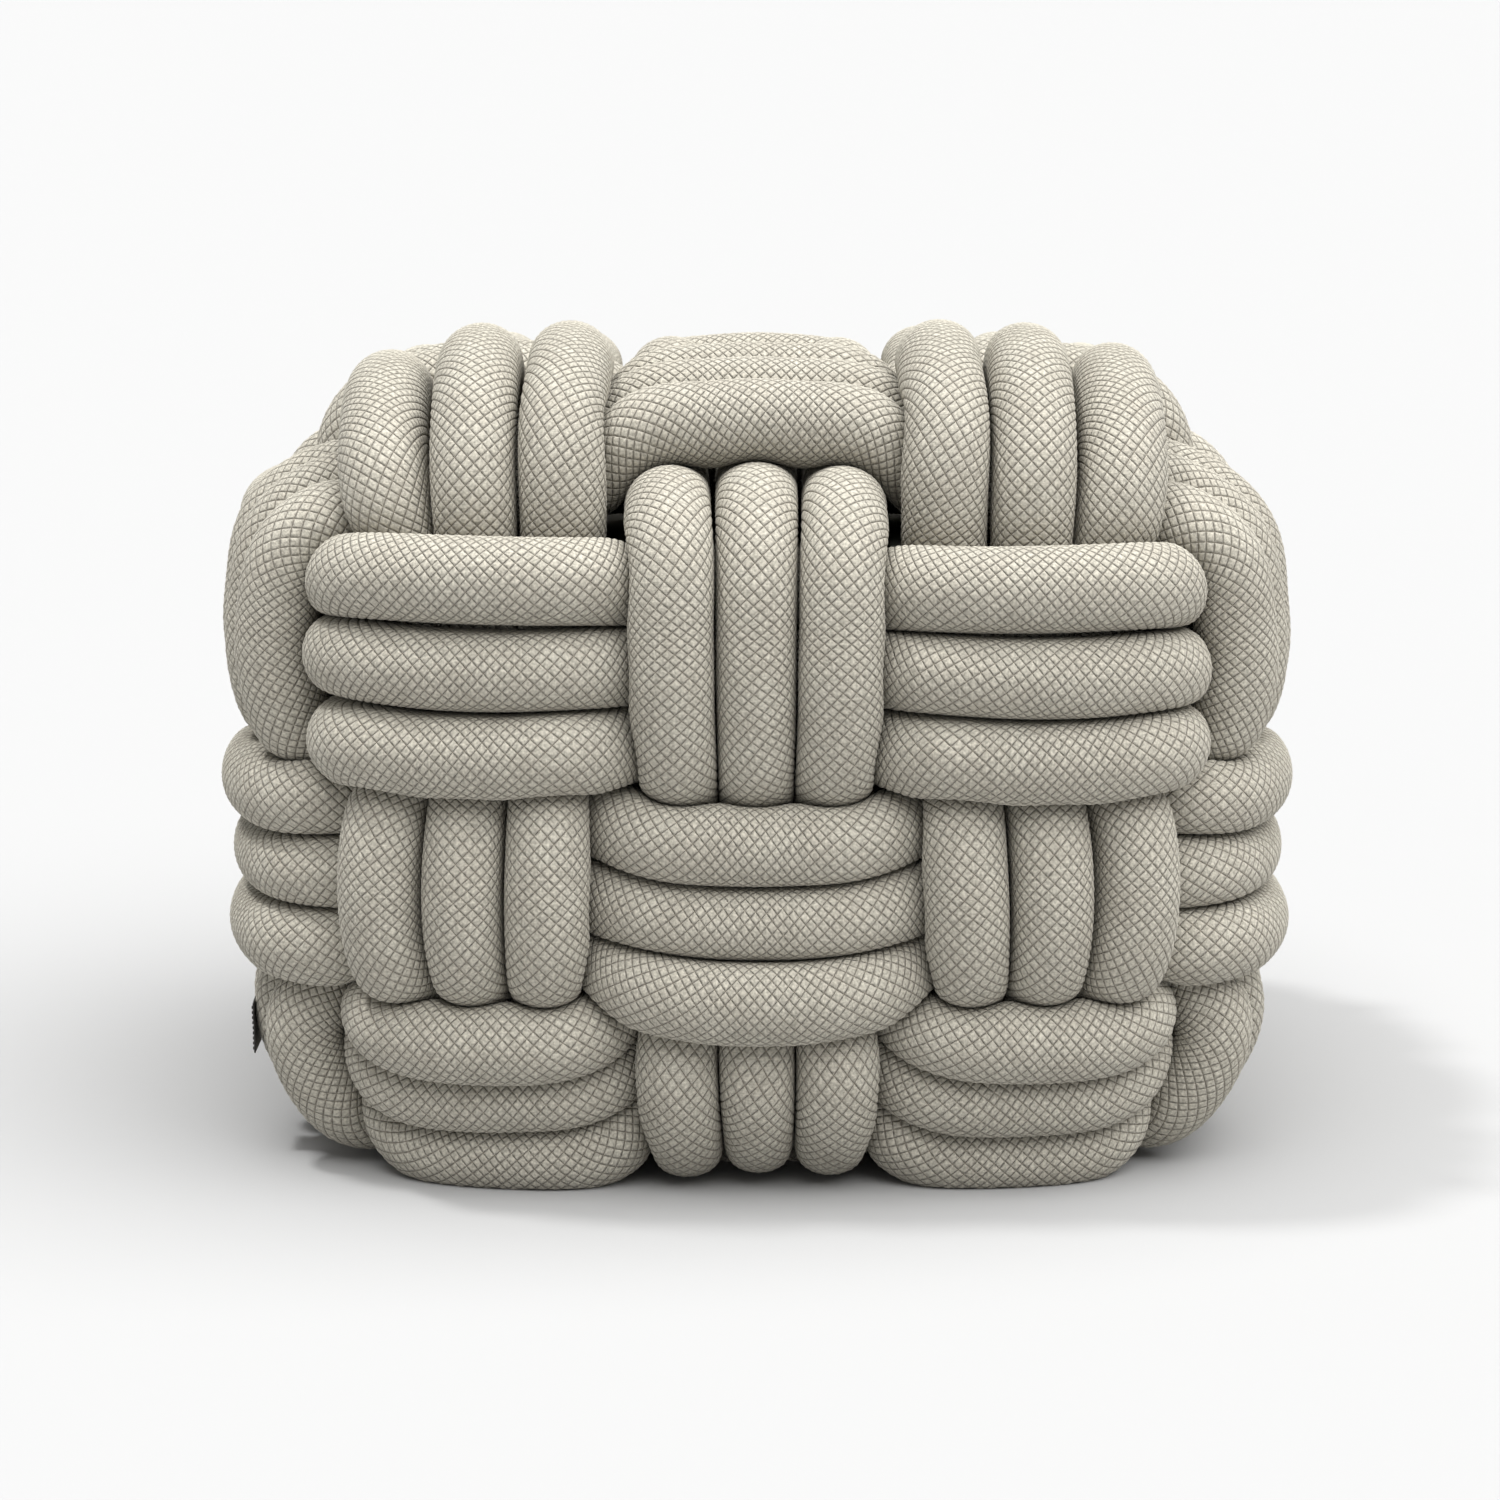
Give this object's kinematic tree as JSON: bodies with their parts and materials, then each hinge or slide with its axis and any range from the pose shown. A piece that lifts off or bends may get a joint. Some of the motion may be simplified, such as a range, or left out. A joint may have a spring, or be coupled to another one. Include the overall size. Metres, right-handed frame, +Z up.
{
  "type": "woven floor cushion",
  "caption": "Square woven floor cushion: bands of soft stuffed knit tubes cross over and under each other round a foam core, with a small flat side tag.",
  "frame": {"origin": "centre of the bounding box at the floor", "axes": "+Z up and the cushion's height, front toward -Y, sides toward +X and -X"},
  "size_m": [0.5699, 0.5718, 0.4202],
  "materials": {
    "knit": "matte raised-diamond stretch knit",
    "lining": "plain cotton lining",
    "foam": "open-cell foam",
    "tag": "woven tape"
  },
  "bodies": {
    "root": {"row_base_tube_1": "knit", "row_base_tube_2": "knit", "row_base_tube_3": "knit", "row_mid_tube_1": "knit", "row_mid_tube_2": "knit", "row_mid_tube_3": "knit", "row_top_tube_1": "knit", "row_top_tube_2": "knit", "row_top_tube_3": "knit", "column_left_tube_1": "knit", "column_left_tube_2": "knit", "column_left_tube_3": "knit", "column_mid_tube_1": "knit", "column_mid_tube_2": "knit", "column_mid_tube_3": "knit", "column_right_tube_1": "knit", "column_right_tube_2": "knit", "column_right_tube_3": "knit", "cross_front_tube_1": "knit", "cross_front_tube_2": "knit", "cross_front_tube_3": "knit", "cross_mid_tube_1": "knit", "cross_mid_tube_2": "knit", "cross_mid_tube_3": "knit", "cross_back_tube_1": "knit", "cross_back_tube_2": "knit", "cross_back_tube_3": "knit", "core_lining": "lining", "core_foam": "foam", "label_tag": "tag"}
  },
  "joints": []
}
